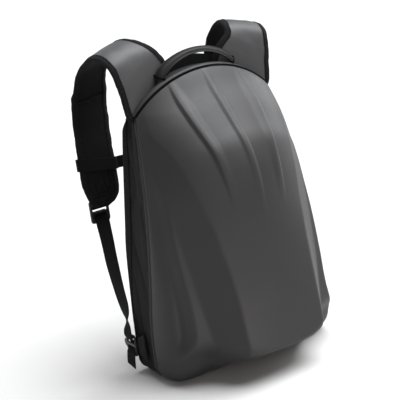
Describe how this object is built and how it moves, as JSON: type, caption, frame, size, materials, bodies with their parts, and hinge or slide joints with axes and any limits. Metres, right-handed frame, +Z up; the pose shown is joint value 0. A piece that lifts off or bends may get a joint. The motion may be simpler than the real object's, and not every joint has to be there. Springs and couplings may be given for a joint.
{
  "type": "hard-shell backpack",
  "caption": "Backpack with a ribbed, domed hard shell, zipped cloth sides, a padded mesh back, a grab handle, padded shoulder straps with adjusting webbing, and a closed chest strap.",
  "frame": {"origin": "middle of the flat base that the pack stands on", "axes": "+Z up along the pack's height, -Y out of the moulded shell, +Y out of the padded back towards the wearer, +X to the right seen from the shell side"},
  "size_m": [0.338, 0.3162, 0.5295],
  "materials": {
    "shell": "matte soft-touch moulded skin",
    "coated": "matte coated cloth, fine grain",
    "cloth": "plain weave, matt",
    "zip": "woven tape with a coated face",
    "mesh": "open spacer mesh",
    "tape": "woven binding tape",
    "webbing": "ribbed webbing",
    "plastic": "moulded, satin"
  },
  "bodies": {
    "root": {"front_shell": "shell", "main_zip": "zip", "side_gusset": "cloth", "top_seam": "webbing", "yoke_panel": "coated", "back_piping": "webbing", "back_panel": "mesh", "grab_handle": "coated", "right_strap_cover": "coated", "left_strap_cover": "coated", "right_strap_lining": "mesh", "left_strap_lining": "mesh", "right_strap_binding": "tape", "left_strap_binding": "tape", "right_tip_loop": "webbing", "left_tip_loop": "webbing", "right_ladder_lock": "plastic", "left_ladder_lock": "plastic", "right_webbing": "webbing", "left_webbing": "webbing", "right_adjuster": "plastic", "left_adjuster": "plastic", "right_wing_tab": "cloth", "left_wing_tab": "cloth", "right_sternum_loop": "webbing", "left_sternum_loop": "webbing", "right_sternum_web": "webbing", "left_sternum_web": "webbing", "sternum_buckle": "plastic"}
  },
  "joints": []
}
